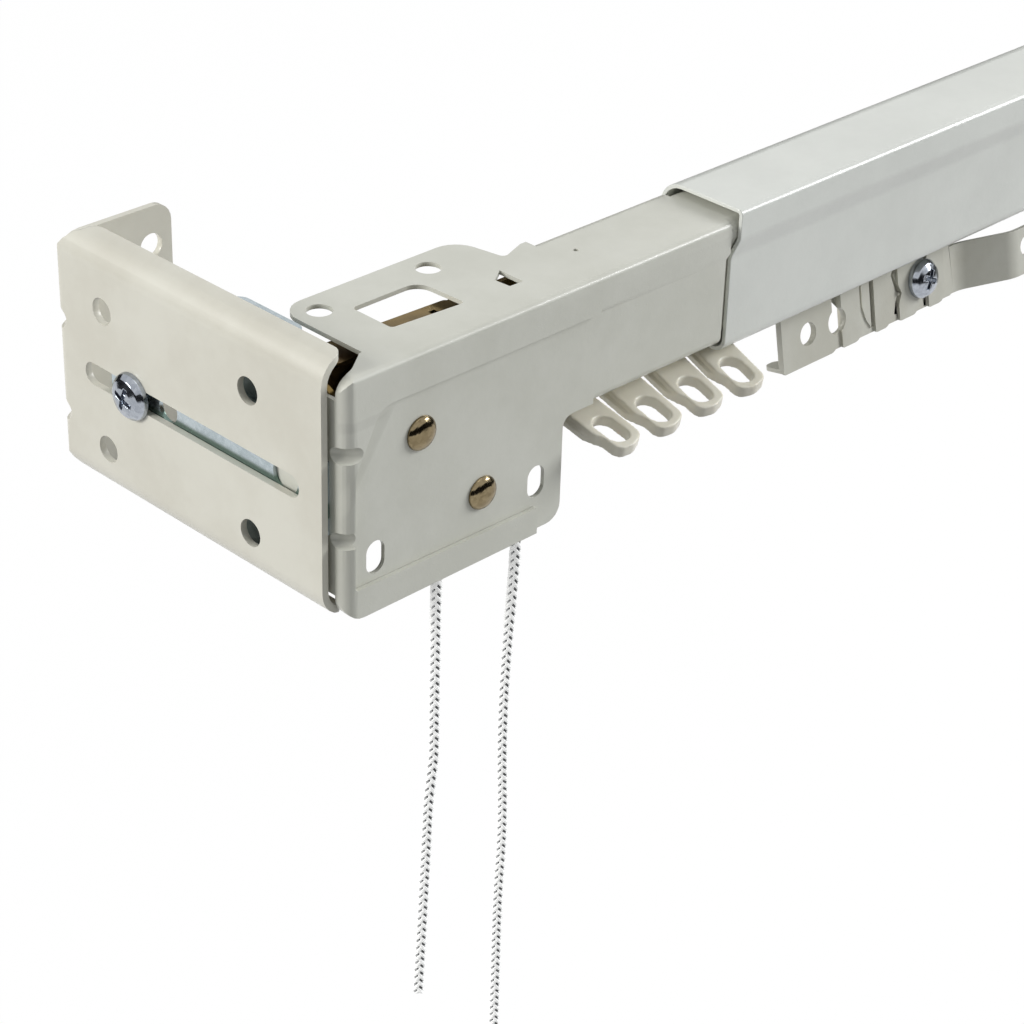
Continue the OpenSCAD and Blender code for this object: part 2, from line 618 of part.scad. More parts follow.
module return_pulley_right() color([0.9, 0.9, 0.88]) placed() at_right() pulley_body(upper_axle, return_plane);
module upper_rivet_left() color([0.66, 0.6, 0.5]) placed() rivet_body(upper_axle, upper_plane, true);
module lower_rivet_left() color([0.66, 0.6, 0.5]) placed() rivet_body(lower_axle, lower_plane, true);
module upper_rivet_right() color([0.66, 0.6, 0.5]) placed() at_right() rivet_body(upper_axle, return_plane, true);
module lower_rivet_right() color([0.66, 0.6, 0.5]) placed() at_right() rivet_body(lower_axle, lower_plane, false);
module outer_track() color([0.85, 0.86, 0.84]) placed() outer_track_body();
module inner_track() color([0.85, 0.86, 0.84]) placed() inner_track_body();
module glider_left_1() color([0.86, 0.85, 0.8]) placed() glider_body(0);
module glider_left_2() color([0.86, 0.85, 0.8]) placed() glider_body(1);
module glider_left_3() color([0.86, 0.85, 0.8]) placed() glider_body(2);
module glider_left_4() color([0.86, 0.85, 0.8]) placed() glider_body(3);
module glider_right_1() color([0.86, 0.85, 0.8]) placed() at_right() glider_body(0);
module glider_right_2() color([0.86, 0.85, 0.8]) placed() at_right() glider_body(1);
module glider_right_3() color([0.86, 0.85, 0.8]) placed() at_right() glider_body(2);
module glider_right_4() color([0.86, 0.85, 0.8]) placed() at_right() glider_body(3);
module master_plate_left() color([0.8, 0.8, 0.77]) placed() master_plate_body(true);
module master_plate_right() color([0.8, 0.8, 0.77]) placed() at_right() master_plate_body(false);
module master_slider_left() color([0.86, 0.85, 0.8]) placed() master_slider_body();
module master_slider_right() color([0.86, 0.85, 0.8]) placed() at_right() master_slider_body();
module master_screw_left() color([0.72, 0.74, 0.76]) placed() master_screw_body();
module master_screw_right() color([0.72, 0.74, 0.76]) placed() at_right() master_screw_body();
module draw_cord_runs() color([0.94, 0.94, 0.93]) placed() draw_cord_runs_body();
module draw_cord_return() color([0.94, 0.94, 0.93]) placed() draw_cord_return_body();
module cord_tail_left() color([0.94, 0.94, 0.93]) placed()
    tail([lower_axle[0] - cord_ride, lower_plane, tail_top], left_tail_route);
module cord_tail_right() color([0.94, 0.94, 0.93]) placed()
    tail([guide_axle[0] + guide_ride, upper_plane, tail_top], right_tail_route);

wall_bracket_left();
bracket_slide_left();
projection_screw_left();
end_housing_left();
pulley_frame_left();
upper_pulley_left();
lower_pulley_left();
upper_rivet_left();
lower_rivet_left();
outer_track();
glider_left_1();
glider_left_2();
glider_left_3();
glider_left_4();
master_plate_left();
master_slider_left();
master_screw_left();
inner_track();
end_housing_right();
bracket_slide_right();
projection_screw_right();
pulley_frame_right();
return_pulley_right();
upper_rivet_right();
lower_rivet_right();
wall_bracket_right();
glider_right_1();
glider_right_2();
glider_right_3();
glider_right_4();
master_plate_right();
master_slider_right();
master_screw_right();
draw_cord_runs();
draw_cord_return();
cord_tail_left();
cord_tail_right();
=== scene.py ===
import json
import math
import bpy
import bmesh
from mathutils import Euler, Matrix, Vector


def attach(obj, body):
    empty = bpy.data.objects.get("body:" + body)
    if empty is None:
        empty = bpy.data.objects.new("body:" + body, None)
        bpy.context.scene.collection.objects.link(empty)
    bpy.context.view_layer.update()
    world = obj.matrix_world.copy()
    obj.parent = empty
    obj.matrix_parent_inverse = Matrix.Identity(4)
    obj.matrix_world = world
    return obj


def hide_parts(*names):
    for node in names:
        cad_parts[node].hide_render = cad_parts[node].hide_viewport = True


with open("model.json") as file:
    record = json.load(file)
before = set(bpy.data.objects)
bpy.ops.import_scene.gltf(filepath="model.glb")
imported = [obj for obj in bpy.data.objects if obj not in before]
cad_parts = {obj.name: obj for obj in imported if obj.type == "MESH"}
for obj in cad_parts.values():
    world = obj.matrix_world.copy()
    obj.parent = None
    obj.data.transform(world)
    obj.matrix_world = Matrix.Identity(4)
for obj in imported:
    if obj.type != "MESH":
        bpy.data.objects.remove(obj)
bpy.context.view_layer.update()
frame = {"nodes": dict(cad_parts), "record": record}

mm = 0.001

# sizes below are counted from where the left bracket's outer face, its lower edge and the wall meet;
# this is where the wall mount lies in that grid
mountAt = Vector((20.4, 0.0, 24.0))


def spot(x, y, z):
    return (Vector((x, y, z)) - mountAt) * mm


scene = bpy.context.scene
scene.view_settings.view_transform = "Standard"

# camera: found from the bracket's holes and straight edges, then fitted again without lens shift, which
# keeps other views centred
cameraSet = {
    "place": (-252.6, -359.6, 247.1),
    "turn": (59.57, -1.575, -44.653),
    "lens": 98.18,
    "sensor": 36.0,
    "nearest": 0.01,
    "farthest": 20.0,
}


def makeCamera(s):
    data = bpy.data.cameras.new("roomCamera")
    data.sensor_width = s["sensor"]
    data.lens = s["lens"]
    data.clip_start = s["nearest"]
    data.clip_end = s["farthest"]
    camera = bpy.data.objects.new("roomCamera", data)
    camera.location = spot(*s["place"])
    camera.rotation_euler = Euler([math.radians(a) for a in s["turn"]], "XYZ")
    scene.collection.objects.link(camera)
    scene.camera = camera


makeCamera(cameraSet)
print("camera placed")


# one socket of a material, so that expressions on values add Math nodes
class Wire:
    def __init__(self, finish, socket):
        self.finish = finish
        self.socket = socket

    def joined(self, operation, first, second=None, third=None):
        values = [v.socket if isinstance(v, Wire) else v for v in (first, second, third)]
        node = self.finish.add("ShaderNodeMath", {"operation": operation},
                               {i: v for i, v in enumerate(values) if v is not None})
        return Wire(self.finish, node.outputs[0])

    def __add__(self, other):
        return self.joined("ADD", self, other)

    __radd__ = __add__

    def __sub__(self, other):
        return self.joined("SUBTRACT", self, other)

    def __rsub__(self, other):
        return self.joined("SUBTRACT", other, self)

    def __mul__(self, other):
        return self.joined("MULTIPLY", self, other)

    def within(self, low, high):
        node = self.finish.add("ShaderNodeMapRange", {"interpolation_type": "SMOOTHSTEP"},
                               {"Value": self, "From Min": low, "From Max": high})
        return Wire(self.finish, node.outputs[0])


# short names for the shader's inputs
shaderInputs = {
    "colour": "Base Color", "rough": "Roughness", "metal": "Metallic", "gloss": "Specular IOR Level",
    "coat": "Coat Weight", "coatRough": "Coat Roughness", "bump": "Normal",
    "soft": "Subsurface Weight", "softReach": "Subsurface Scale", "softTint": "Subsurface Radius",
    "glow": "Emission Strength", "glowColour": "Emission Color",
}


# a node-built material
class Finish:
    def __init__(self, name):
        self.material = bpy.data.materials.new(name)
        self.material.use_nodes = True
        self.tree = self.material.node_tree
        self.tree.nodes.clear()
        self.shader = self.add("ShaderNodeBsdfPrincipled", {}, {})
        self.ending = self.add("ShaderNodeOutputMaterial", {}, {"Surface": self.shader.outputs[0]})

    def add(self, kind, settings, sockets):
        node = self.tree.nodes.new(kind)
        for key, value in settings.items():
            if key == "stops":
                ramp = node.color_ramp
                while len(ramp.elements) > 1:
                    ramp.elements.remove(ramp.elements[-1])
                for i, (place, colour) in enumerate(value):
                    stop = ramp.elements[0] if i == 0 else ramp.elements.new(place)
                    stop.position = place
                    stop.color = colour
            else:
                setattr(node, key, value)
        for key, value in sockets.items():
            socket = node.inputs[key]
            if isinstance(value, Wire):
                value = value.socket
            if isinstance(value, bpy.types.NodeSocket):
                self.tree.links.new(value, socket)
            else:
                socket.default_value = value
        return node

    def out(self, kind, settings, sockets, output=0):
        return Wire(self, self.add(kind, settings, sockets).outputs[output])

    def place(self, stretch=(1, 1, 1)):
        coords = self.add("ShaderNodeTexCoord", {}, {})
        return self.out("ShaderNodeMapping", {}, {"Vector": coords.outputs["Object"], "Scale": stretch})

    def noise(self, where, scale, detail=3.0, rough=0.5):
        sockets = {"Vector": where, "Scale": scale, "Detail": detail, "Roughness": rough}
        return self.out("ShaderNodeTexNoise", {}, sockets)

    def parted(self, vector):
        node = self.add("ShaderNodeSeparateXYZ", {}, {"Vector": vector})
        return [Wire(self, node.outputs[i]) for i in range(3)]

    def mixed(self, factor, first, second):
        node = self.add("ShaderNodeMix", {"data_type": "RGBA"}, {"Factor": factor})
        for i, value in ((6, first), (7, second)):
            if isinstance(value, (Wire, bpy.types.NodeSocket)):
                self.tree.links.new(value.socket if isinstance(value, Wire) else value, node.inputs[i])
            else:
                node.inputs[i].default_value = value
        return Wire(self, node.outputs[2])

    def dress(self, **sockets):
        for key, value in sockets.items():
            socket = self.shader.inputs[shaderInputs[key]]
            if isinstance(value, Wire):
                self.tree.links.new(value.socket, socket)
            else:
                socket.default_value = value
        return self.material

    def bump(self, height, strength, distance):
        sockets = {"Height": height, "Strength": strength, "Distance": distance}
        return self.out("ShaderNodeBump", {}, sockets)


def tone(r, g, b):
    def linear(c):
        c = c / 255.0
        return c / 12.92 if c <= 0.04045 else ((c + 0.055) / 1.055) ** 2.4
    return (linear(r), linear(g), linear(b), 1.0)


# baked enamel: faint orange peel, a little cloudiness and a few dust nibs
paintSet = {
    "bracketEnamel": {"light": (222, 220, 208), "deep": (213, 210, 197), "rough": 0.42},
    "housingEnamel": {"light": (214, 214, 204), "deep": (205, 205, 194), "rough": 0.38,
                      "drawn": {"foot": (5.9, 27.2), "head": (12.0, 36.4), "front": -70.5, "soft": 1.9,
                                "deep": 20.0}},
    "trackEnamel": {"light": (226, 228, 222), "deep": (219, 221, 215), "rough": 0.3},
    "plateEnamel": {"light": (211, 210, 199), "deep": (199, 197, 184), "rough": 0.42},
}

# noises as scale, detail and roughness
enamelNoise = {"cloud": (60.0, 4.0, 0.6), "peel": (900.0, 2.0, 0.5), "nibs": (2600.0, 1.0, 0.4)}


# soft shoulder of the pressed panel: the slanting line from foot to head, on the front face only
def shoulder(f, where, s):
    foot = spot(s["foot"][0], 0, s["foot"][1])
    head = spot(s["head"][0], 0, s["head"][1])
    lean = (head.x - foot.x) / (head.z - foot.z)
    at = f.parted(where)
    aside = at[0] - foot.x - (at[2] - foot.z) * lean
    below = (head.z - at[2]).within(-0.5 * mm, 1.5 * mm)
    front = (spot(0, s["front"], 0).y - at[1]).within(0, 0.4 * mm)
    step = aside.within(-s["soft"] * mm, s["soft"] * mm)
    return (step - 1.0) * below * front * s["deep"]


def enamel(name, s):
    f = Finish(name)
    where = f.place()
    relief = shoulder(f, where, s["drawn"]) if "drawn" in s else 0.0
    cloud = f.noise(where, *enamelNoise["cloud"])
    peel = f.noise(where, *enamelNoise["peel"])
    nibs = f.noise(where, *enamelNoise["nibs"])
    colour = f.mixed(cloud.within(0.3, 0.7), tone(*s["deep"]), tone(*s["light"]))
    height = peel * 0.6 + cloud * 0.9 + nibs.within(0.66, 0.8) * 0.5 + relief
    return f.dress(colour=colour, rough=s["rough"] - 0.06 + cloud * 0.12, gloss=0.45,
                   coat=0.3, coatRough=0.14, bump=f.bump(height, 0.16, 0.2 * mm))


# bright metal, plated or polished: faint spangle, rolling lines and cloudiness; on the zinc slide a
# painted dark reflection band
platedSet = {
    "brightZinc": {"light": (196, 206, 211), "deep": (166, 178, 182), "rough": 0.26, "metal": 0.9,
                   "paintedDarkReflection": (112, 132, 125), "paintedDarkReflectionBetween": (18.4, 21.5)},
    "polishedSteel": {"light": (182, 187, 194), "deep": (146, 152, 161), "rough": 0.16, "metal": 1.0},
    "warmNickel": {"light": (150, 136, 108), "deep": (112, 99, 74), "rough": 0.14, "metal": 1.0},
}

platedNoise = {"spangle": 1500.0, "stretch": (60, 900, 900), "lines": (1.4, 3.0, 0.6),
               "cloud": (160.0, 4.0, 0.6)}


def plated(name, s):
    f = Finish(name)
    where = f.place()
    spangle = f.out("ShaderNodeTexVoronoi", {"feature": "F1"},
                    {"Vector": where, "Scale": platedNoise["spangle"]}, 1)
    grey = f.out("ShaderNodeRGBToBW", {}, {"Color": spangle})
    lines = f.noise(f.place(platedNoise["stretch"]), *platedNoise["lines"])
    cloud = f.noise(where, *platedNoise["cloud"])
    shade = grey * 0.2 + cloud * 0.5 + lines * 0.3
    colour = f.mixed(shade.within(0.25, 0.75), tone(*s["deep"]), tone(*s["light"]))
    # painted dark reflection: a darker green-grey band across the slide's lower part, seen in the slot
    if "paintedDarkReflection" in s:
        height = f.parted(where)[2]
        low, high = (spot(0, 0, z).z for z in s["paintedDarkReflectionBetween"])
        inBand = (height - low).within(0, 0.4 * mm) * (high - height).within(-0.3 * mm, 0.5 * mm)
        colour = f.mixed(inBand, colour, tone(*s["paintedDarkReflection"]))
    return f.dress(colour=colour, metal=s["metal"], rough=s["rough"] - 0.06 + cloud * 0.12,
                   bump=f.bump(lines * 0.4 + cloud * 0.6, 0.05, 0.1 * mm))


# yellow passivation: gold drifting to olive and rose
passivateSet = {"gold": (128, 108, 66), "olive": (74, 64, 38), "rose": (104, 84, 62), "rough": 0.24,
                "bands": ((0.25, "olive"), (0.5, "gold"), (0.68, "rose"), (0.85, "gold")),
                "drift": (70.0, 3.0, 0.6), "grain": 800.0}


def passivated(name, s):
    f = Finish(name)
    drift = f.noise(f.place(), *s["drift"])
    stops = [(place, tone(*s[colour])) for place, colour in s["bands"]]
    colour = f.out("ShaderNodeValToRGB", {"stops": stops}, {"Fac": drift})
    return f.dress(colour=colour, metal=1.0, rough=s["rough"] - 0.05 + drift * 0.1,
                   bump=f.bump(f.noise(f.place(), s["grain"]), 0.05, 0.1 * mm))


# moulded plastic: light passes a little way in, the skin is satin
plasticSet = {
    "gliderPlastic": {"light": (231, 227, 213), "deep": (222, 217, 201), "rough": 0.34, "reach": 0.0008},
    "sliderPlastic": {"light": (222, 219, 207), "deep": (214, 210, 196), "rough": 0.45, "reach": 0.001},
    "pulleyNylon": {"light": (236, 235, 228), "deep": (228, 226, 216), "rough": 0.4, "reach": 0.001},
}

mouldedNoise = {"cloud": (120.0, 3.0, 0.5), "grain": (1800.0, 2.0, 0.5)}


def moulded(name, s):
    f = Finish(name)
    where = f.place()
    cloud = f.noise(where, *mouldedNoise["cloud"])
    grain = f.noise(where, *mouldedNoise["grain"])
    colour = f.mixed(cloud.within(0.3, 0.7), tone(*s["deep"]), tone(*s["light"]))
    return f.dress(colour=colour, rough=s["rough"] - 0.05 + cloud * 0.1, soft=0.12, softReach=s["reach"],
                   softTint=(1.0, 0.9, 0.7),
                   bump=f.bump(grain * 0.5 + cloud * 0.5, 0.06, 0.1 * mm))


# cord yarn with fine fibres; it greys where it dives under another yarn, which is painted shade in the
# gaps, darker on the right lay than the left, and its glow is painted light that lifts the cord to white
strandSet = {
    "cordRightLay": {"light": (252, 252, 251), "deep": (244, 244, 243),
                     "paintedGapShade": (88, 89, 90), "glow": 0.3},
    "cordLeftLay": {"light": (252, 252, 251), "deep": (244, 244, 243),
                    "paintedGapShade": (150, 151, 152), "glow": 0.3},
    "cordSleeve": {"light": (246, 246, 244), "deep": (226, 226, 224)},
    # the core's dark grey is painted shade, seen in the gaps between yarns
    "cordThread": {"light": (84, 85, 87), "deep": (60, 62, 64)},
}

fibreNoise = {"stretch": (1, 1, 0.3), "fibres": (5200.0, 2.0, 0.7)}


def strand(name, light, deep, paintedGapShade=None, glow=0.0):
    f = Finish(name)
    fibres = f.noise(f.place(fibreNoise["stretch"]), *fibreNoise["fibres"])
    colour = f.mixed(fibres.within(0.3, 0.7), tone(*deep), tone(*light))
    if paintedGapShade:
        # painted shade: yarns turn grey where they pass under the other hand's yarns
        onTop = f.out("ShaderNodeAttribute", {"attribute_name": "onTop"}, {}, 2)
        colour = f.mixed(onTop.within(-0.8, -0.1), tone(*paintedGapShade), colour)
    # painted light: the yarn glows in its own colour so the cord renders near white
    return f.dress(colour=colour, rough=0.85, gloss=0.2, glow=glow, glowColour=colour,
                   bump=f.bump(fibres, 0.35, 0.1 * mm))


finishes = {}
for name, s in paintSet.items():
    finishes[name] = enamel(name, s)
for name, s in platedSet.items():
    finishes[name] = plated(name, s)
for name, s in plasticSet.items():
    finishes[name] = moulded(name, s)
finishes["passivatedZinc"] = passivated("passivatedZinc", passivateSet)
for name, s in strandSet.items():
    finishes[name] = strand(name, **s)
print("finishes made")

bodyOf = {node: body for body, nodes in frame["record"]["behaviour"]["bodies"].items() for node in nodes}


def keepMesh(name, mesh, nodes, finish):
    piece = bpy.data.objects.new(name, mesh)
    scene.collection.objects.link(piece)
    mesh.materials.clear()
    mesh.materials.append(finish)
    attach(piece, bodyOf[nodes[0]])
    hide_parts(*nodes)
    return piece


def meshOf(holder):
    bpy.context.view_layer.update()
    made = bpy.data.meshes.new_from_object(holder.evaluated_get(bpy.context.evaluated_depsgraph_get()))
    bpy.data.objects.remove(holder)
    return made


# broken edges: steps across each, the least angle that counts as an edge, the angle under which faces
# merge, and how much large faces outweigh small ones in the shading
edgeRule = {"steps": 2, "sharp": 32.0, "flat": 0.5, "weight": 60}
weldWithin = 1e-6


# a loose copy of a solid with its seams welded, and its flat faces merged where asked
def looseCopy(node, merge):
    mesh = frame["nodes"][node].data.copy()
    form = bmesh.new()
    form.from_mesh(mesh)
    bmesh.ops.remove_doubles(form, verts=form.verts, dist=weldWithin)
    if merge:
        flat = math.radians(edgeRule["flat"])
        bmesh.ops.dissolve_limit(form, angle_limit=flat, verts=form.verts, edges=form.edges)
    form.to_mesh(mesh)
    form.free()
    holder = bpy.data.objects.new("holder", mesh)
    scene.collection.objects.link(holder)
    return holder


# a solid with its sharp edges broken, at most as wide as asked: the tightest spot of a mesh limits all
# its edges, so the sheet pieces other than the two channels stay all but sharp
def softened(node, finish, breakEdge):
    holder = looseCopy(node, True)
    holder.data.shade_smooth()
    bevel = holder.modifiers.new("breakEdge", "BEVEL")
    bevel.width = breakEdge * mm
    bevel.segments = edgeRule["steps"]
    bevel.limit_method = "ANGLE"
    bevel.angle_limit = math.radians(edgeRule["sharp"])
    bevel.use_clamp_overlap = True
    bevel.miter_outer = "MITER_ARC"
    even = holder.modifiers.new("evenShading", "WEIGHTED_NORMAL")
    even.mode = "FACE_AREA"
    even.weight = edgeRule["weight"]
    even.keep_sharp = True
    return keepMesh(node + "Form", meshOf(holder), [node], finishes[finish])


# moulded and turned pieces: a fine voxel skin, smoothed until edges and hole rims are round
mouldSet = {"voxel": 0.2, "rounds": 9}
turnedSet = {"voxel": 0.08, "rounds": 16}


def rounded(node, finish, s):
    holder = looseCopy(node, False)
    skin = holder.modifiers.new("skin", "REMESH")
    skin.mode = "VOXEL"
    skin.voxel_size = s["voxel"] * mm
    skin.use_smooth_shade = True
    worn = holder.modifiers.new("worn", "SMOOTH")
    worn.factor = 0.5
    worn.iterations = s["rounds"]
    return keepMesh(node + "Form", meshOf(holder), [node], finishes[finish])


# each kind of solid: its finish, and the widest that its broken edges may be or the skin it gets instead
dressSet = {
    "wall_bracket": ("bracketEnamel", 0.22),
    "bracket_slide": ("brightZinc", 0.12),
    "projection_screw": ("polishedSteel", turnedSet),
    "end_housing": ("housingEnamel", 0.2),
    "pulley_frame": ("passivatedZinc", 0.12),
    "upper_pulley": ("pulleyNylon", 0.15),
    "lower_pulley": ("pulleyNylon", 0.15),
    "return_pulley": ("pulleyNylon", 0.15),
    "upper_rivet": ("warmNickel", turnedSet),
    "lower_rivet": ("warmNickel", turnedSet),
    "outer_track": ("trackEnamel", 0.15),
    "inner_track": ("trackEnamel", 0.15),
    "glider": ("gliderPlastic", mouldSet),
    "master_plate": ("plateEnamel", 0.25),
    "master_slider": ("sliderPlastic", 0.3),
    "master_screw": ("polishedSteel", turnedSet),
}
for node in frame["nodes"]:
    for stem, (finish, treatment) in dressSet.items():
        if node.startswith(stem):
            shape = rounded if isinstance(treatment, dict) else softened
            shape(node, finish, treatment)
print("solids dressed")

# loose cord tails: the routes of part.scad, in millimetres from each tail's top end, which is a little
# below the bracket's lower edge; short and long are how far below that edge the tails' lower ends are
cordSet = {
    "diameter": 2.4, "short": 92.0, "long": 118.0, "topBelow": 1.5, "core": 1.3, "spacing": 3.0,
    "strands": 8, "yarns": 3, "yarnGaps": (0.31, 0.25), "yarnWidth": 0.33, "turn": 6.64, "lift": 0.15,
    "stepsPerTurn": 18, "phases": {"cord_tail_left": 3.0, "cord_tail_right": 183.0},
}
tailStarts = {"cord_tail_left": (26.9, -68.2, -cordSet["topBelow"]),
              "cord_tail_right": (49.8, -64.6, -cordSet["topBelow"])}
tailRoutes = {
    "cord_tail_left": [(0, 0, 0), (0, 0, -27), (0, 0, -39), (-1, 0, -47), (-1.5, 0, -58), (-2, 0, -70),
                       (-3, 0, -cordSet["short"] + cordSet["topBelow"])],
    "cord_tail_right": [(0, 0, 0), (-0.5, 0, -13), (-1.5, 0, -26), (-2, 0, -37), (-2, 0, -50),
                        (-1.5, 0, -62), (-1.5, 0, -72), (-2, 0, -85),
                        (-2, 0, -cordSet["long"] + cordSet["topBelow"])],
}


# smooth curve through the points, in steps of about the given length
def eased(points, step):
    line = [points[0]]
    padded = [points[0] * 2 - points[1]] + points + [points[-1] * 2 - points[-2]]
    for a, b, c, d in zip(padded, padded[1:], padded[2:], padded[3:]):
        count = max(1, int((c - b).length / step))
        for i in range(1, count + 1):
            t = i / count
            square = (2 * a - 5 * b + 4 * c - d) * t * t
            cube = (3 * b - a - 3 * c + d) * t ** 3
            line.append(0.5 * (2 * b + (c - a) * t + square + cube))
    return line


def lengthOf(line):
    return sum((b - a).length for a, b in zip(line, line[1:]))


braidInputs = {
    "Strands": "NodeSocketInt", "Yarns": "NodeSocketInt", "Yarn Gap": "NodeSocketFloat",
    "Ride": "NodeSocketFloat", "Lift": "NodeSocketFloat", "Turn": "NodeSocketFloat",
    "Yarn Radius": "NodeSocketFloat", "Step": "NodeSocketFloat", "Hand": "NodeSocketFloat",
    "Stagger": "NodeSocketFloat", "Phase": "NodeSocketFloat", "Finish": "NodeSocketMaterial",
}
yarnSides = 5
crownFall = -0.3


# Geometry Nodes tree that braids yarns round a curve; those of one hand lie on top in two of four columns
def braidTree():
    tree = bpy.data.node_groups.new("braidRoundCurve", "GeometryNodeTree")
    face = tree.interface
    face.new_socket("Curve", in_out="INPUT", socket_type="NodeSocketGeometry")
    for label, kind in braidInputs.items():
        face.new_socket(label, in_out="INPUT", socket_type=kind)
    face.new_socket("Mesh", in_out="OUTPUT", socket_type="NodeSocketGeometry")
    given = tree.nodes.new("NodeGroupInput").outputs

    def add(kind, settings=None, **links):
        node = tree.nodes.new(kind)
        for key, value in (settings or {}).items():
            setattr(node, key, value)
        for key, value in links.items():
            numbered = key[0] == "i" and key[1:].isdigit()
            socket = node.inputs[int(key[1:]) if numbered else key.replace("_", " ")]
            if isinstance(value, bpy.types.NodeSocket):
                tree.links.new(value, socket)
            else:
                socket.default_value = value
        return node

    def sums(operation, *values):
        links = {"i%d" % k: v for k, v in enumerate(values)}
        return add("ShaderNodeMath", {"operation": operation}, **links).outputs[0]

    def vectors(operation, **links):
        return add("ShaderNodeVectorMath", {"operation": operation}, **links).outputs[0]

    fine = add("GeometryNodeResampleCurve", {"mode": "LENGTH"},
               Curve=given["Curve"], Length=given["Step"])
    count = sums("MULTIPLY", given["Strands"], given["Yarns"])
    copies = add("GeometryNodeDuplicateElements", {"domain": "SPLINE"},
                 Geometry=fine.outputs["Curve"], Amount=count)
    number = copies.outputs["Duplicate Index"]
    along = add("GeometryNodeSplineParameter").outputs["Length"]
    tau = 2 * math.pi
    strandNumber = sums("FLOOR", sums("DIVIDE", sums("ADD", number, 0.5), given["Yarns"]))
    inStrand = sums("SUBTRACT", number, sums("MULTIPLY", strandNumber, given["Yarns"]))
    middle = sums("MULTIPLY", sums("SUBTRACT", given["Yarns"], 1.0), 0.5)
    yarnNumber = sums("SUBTRACT", inStrand, middle)
    share = sums("ADD", sums("DIVIDE", sums("MULTIPLY", strandNumber, tau), given["Strands"]),
                 sums("MULTIPLY", yarnNumber, given["Yarn Gap"]))
    swing = sums("MULTIPLY", sums("DIVIDE", along, given["Turn"]), tau)
    angle = sums("ADD", sums("ADD", share, given["Stagger"]), sums("MULTIPLY", swing, given["Hand"]))
    twice = sums("ADD", sums("MULTIPLY", angle, 2.0), given["Phase"])
    wave = sums("MULTIPLY", sums("COSINE", twice), given["Hand"])
    # the middle yarn of a strand stands a little prouder than its neighbours
    crown = sums("MULTIPLY", sums("ABSOLUTE", yarnNumber), crownFall)
    radius = sums("ADD", given["Ride"], sums("MULTIPLY", sums("ADD", wave, crown), given["Lift"]))
    normal = add("GeometryNodeInputNormal").outputs[0]
    tangent = add("GeometryNodeInputTangent").outputs[0]
    side = vectors("CROSS_PRODUCT", i0=tangent, i1=normal)
    byNormal = vectors("SCALE", i0=normal, Scale=sums("COSINE", angle))
    bySide = vectors("SCALE", i0=side, Scale=sums("SINE", angle))
    offset = vectors("SCALE", i0=vectors("ADD", i0=byNormal, i1=bySide), Scale=radius)
    marked = add("GeometryNodeStoreNamedAttribute", {"data_type": "FLOAT", "domain": "POINT"},
                 Geometry=copies.outputs["Geometry"], Name="onTop", Value=wave)
    moved = add("GeometryNodeSetPosition", None, Geometry=marked.outputs["Geometry"], Offset=offset)
    section = add("GeometryNodeCurvePrimitiveCircle", None,
                  Resolution=yarnSides, Radius=given["Yarn Radius"])
    tube = add("GeometryNodeCurveToMesh", None, Curve=moved.outputs["Geometry"],
               Profile_Curve=section.outputs["Curve"], Fill_Caps=True)
    real = add("GeometryNodeRealizeInstances", None, Geometry=tube.outputs["Mesh"])
    painted = add("GeometryNodeSetMaterial", None,
                  Geometry=real.outputs["Geometry"], Material=given["Finish"])
    end = tree.nodes.new("NodeGroupOutput")
    tree.links.new(painted.outputs["Geometry"], end.inputs["Mesh"])
    return tree


braid = braidTree()


def curveAlong(name, line, radius=0.0):
    data = bpy.data.curves.new(name, "CURVE")
    data.dimensions = "3D"
    data.twist_mode = "MINIMUM"
    spline = data.splines.new("POLY")
    spline.points.add(len(line) - 1)
    for point, place in zip(spline.points, line):
        point.co = (*place, 1.0)
    data.bevel_depth = radius
    data.bevel_resolution = 3
    data.use_fill_caps = True
    holder = bpy.data.objects.new(name, data)
    scene.collection.objects.link(holder)
    return holder


def yarnsAlong(line, hand, phase, s):
    holder = curveAlong("yarnGuide", line)
    modifier = holder.modifiers.new("braid", "NODES")
    modifier.node_group = braid
    ids = {item.name: item.identifier for item in braid.interface.items_tree if item.in_out == "INPUT"}
    half = s["yarnWidth"] * mm / 2
    lift = s["lift"] * mm
    values = {
        "Strands": s["strands"] // 2, "Yarns": s["yarns"], "Yarn Gap": s["yarnGaps"][hand < 0],
        "Ride": s["diameter"] * mm / 2 - half - lift, "Lift": lift, "Turn": s["turn"] * mm,
        "Yarn Radius": half, "Step": s["turn"] * mm / s["stepsPerTurn"], "Hand": hand,
        "Stagger": 0.0 if hand > 0 else math.pi / s["strands"] * 2, "Phase": math.radians(phase),
        "Finish": finishes["cordRightLay" if hand > 0 else "cordLeftLay"],
    }
    for label, value in values.items():
        modifier[ids[label]] = value
    return meshOf(holder)


def joinedMesh(name, parts):
    form = bmesh.new()
    mesh = bpy.data.meshes.new(name)
    for number, part in enumerate(parts):
        before = len(form.faces)
        form.from_mesh(part)
        form.faces.ensure_lookup_table()
        for f in form.faces[before:]:
            f.material_index = number
            f.smooth = True
    form.to_mesh(mesh)
    form.free()
    return mesh


for node, route in tailRoutes.items():
    line = eased([spot(*tailStarts[node]) + Vector(p) * mm for p in route], cordSet["spacing"] * mm)
    core = meshOf(curveAlong("coreGuide", line, cordSet["core"] * mm / 2))
    core.materials.clear()
    phase = cordSet["phases"][node]
    lays = [yarnsAlong(line, hand, phase, cordSet) for hand in (1.0, -1.0)]
    mesh = joinedMesh(node + "Braid", [core] + lays)
    piece = bpy.data.objects.new(node + "Braid", mesh)
    scene.collection.objects.link(piece)
    for finish in ("cordThread", "cordRightLay", "cordLeftLay"):
        mesh.materials.append(finishes[finish])
    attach(piece, "left_rod")
    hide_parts(node)
    lengthOf(line)
print("cord tails braided")


